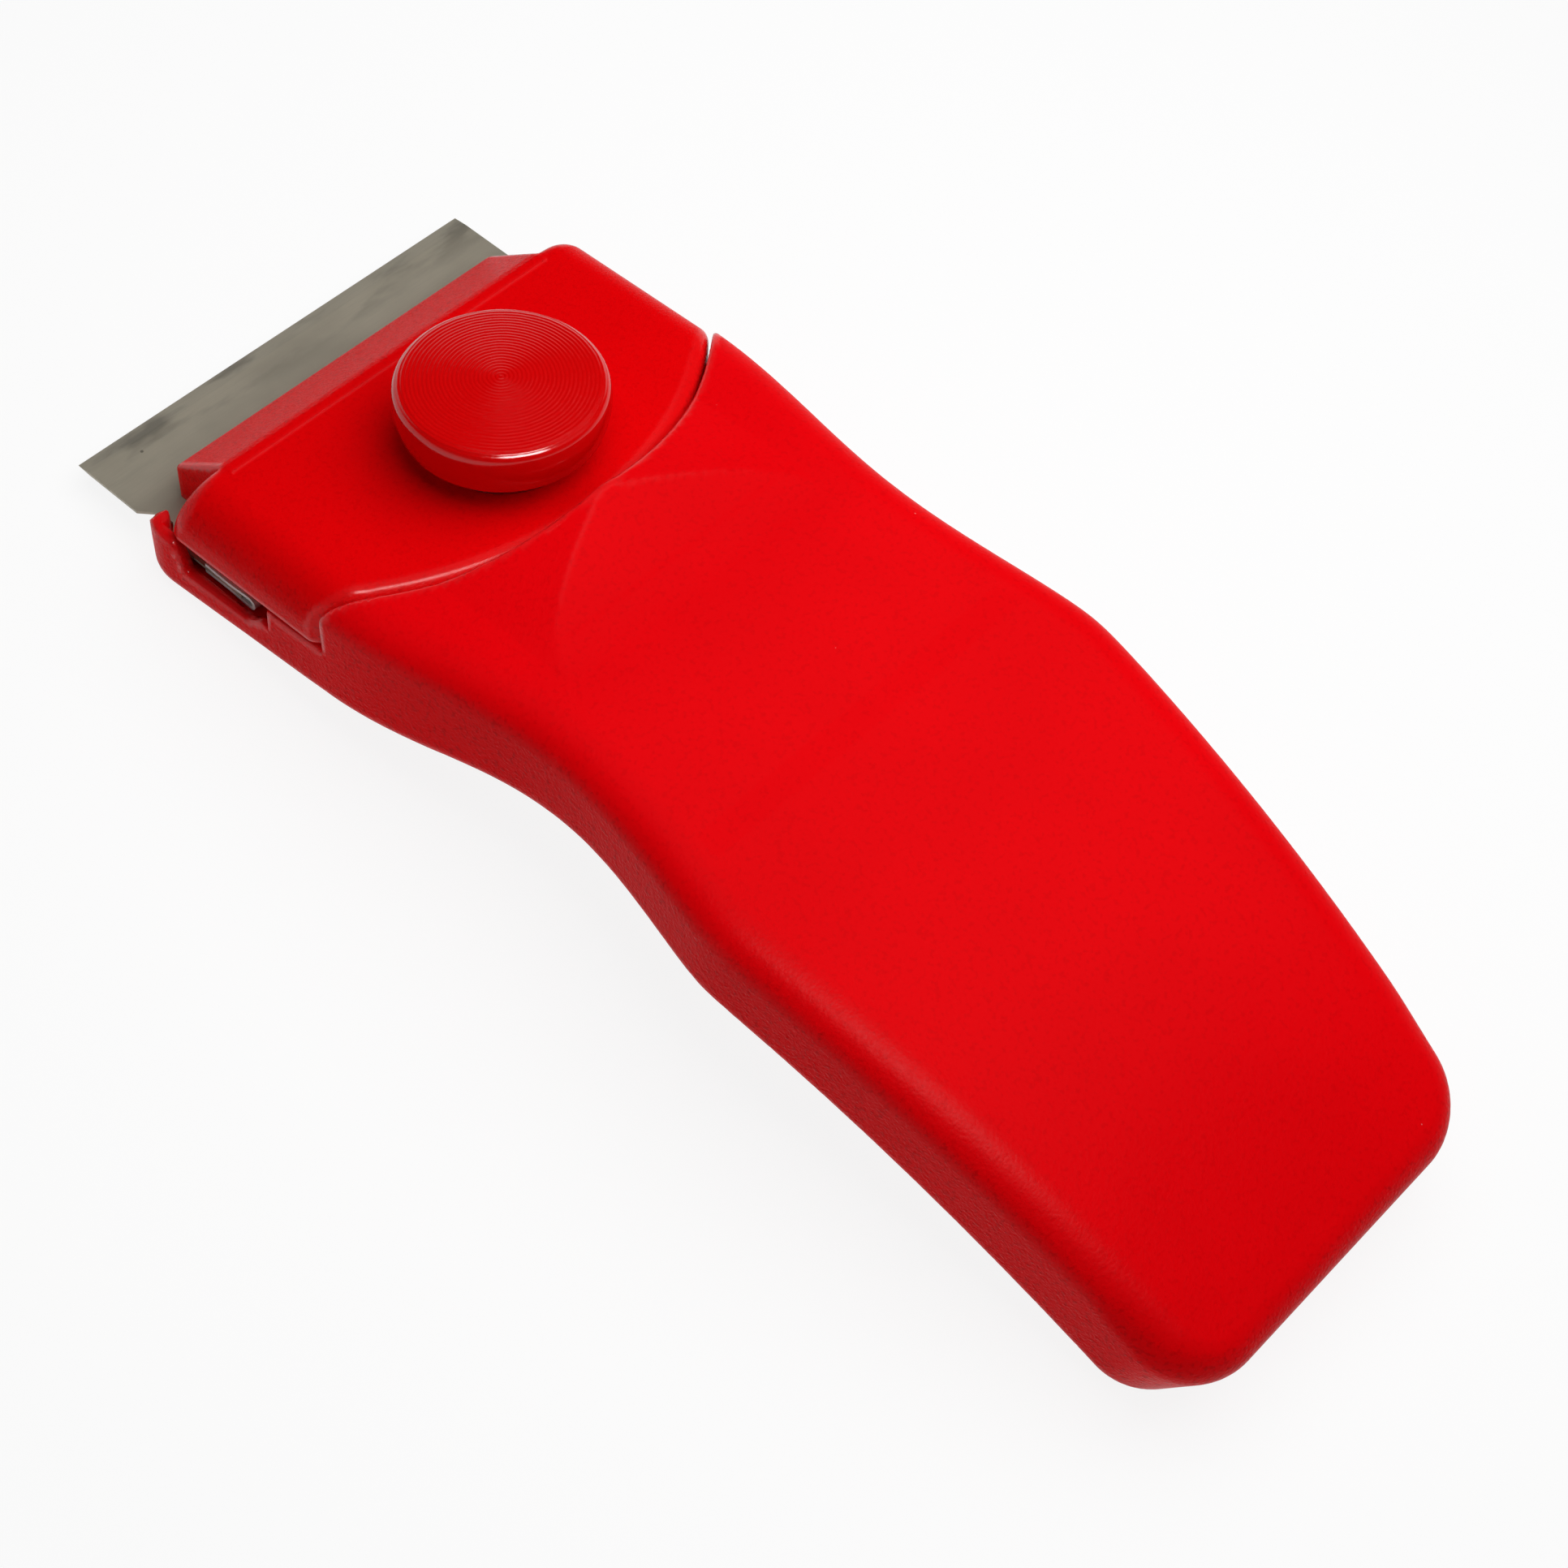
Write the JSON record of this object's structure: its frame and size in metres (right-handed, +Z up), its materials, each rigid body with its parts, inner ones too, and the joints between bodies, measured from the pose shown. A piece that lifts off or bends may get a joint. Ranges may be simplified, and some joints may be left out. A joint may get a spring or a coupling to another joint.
{
  "type": "razor blade scraper",
  "caption": "Palm-sized scraper with an arched red plastic handle, a clamp cap drawn down by a round thumb knob, and a single-edge razor blade held across its front.",
  "frame": {"origin": "middle of the footprint on the table, the tool lying on its front lip and its heel", "axes": "+X across the blade, +Y from the cutting edge towards the heel, +Z up"},
  "size_m": [0.0408, 0.1044, 0.0201],
  "materials": {
    "handle_plastic": "fine moulded grain, satin",
    "cover_plastic": "fine moulded grain, satin",
    "cap_plastic": "fine moulded grain, satin",
    "knob_plastic": "smooth, with fine turned rings on top",
    "fastener_steel": "zinc plated",
    "insert_brass": "turned",
    "blade_steel": "oiled carbon steel, ground edge",
    "spine_steel": "folded tinned sheet"
  },
  "bodies": {
    "handle": {"handle_shell": "handle_plastic", "base_cover": "cover_plastic", "cover_screws": "fastener_steel", "thread_insert": "insert_brass", "guide_pins": "fastener_steel", "razor_blade": "blade_steel", "blade_spine": "spine_steel"},
    "cap": {"clamp_cap": "cap_plastic", "knob_washer": "fastener_steel"},
    "knob": {"clamp_knob": "knob_plastic", "clamp_stud": "fastener_steel", "stud_clip": "fastener_steel"}
  },
  "joints": [
    {"name": "cap_lift", "type": "slide", "parent": "handle", "child": "cap", "axis": [0, -0.1908, 0.9816], "range_m": [0, 0.002]},
    {"name": "knob_turn", "type": "hinge", "parent": "cap", "child": "knob", "pos_m": [0, -0.02762, 0.00656], "axis": [0, -0.1908, 0.9816], "range_deg": [0, 720]}
  ],
  "couplings": [
    {"joint": "knob_turn", "follows": "cap_lift", "rad_per_m": 6283}
  ]
}
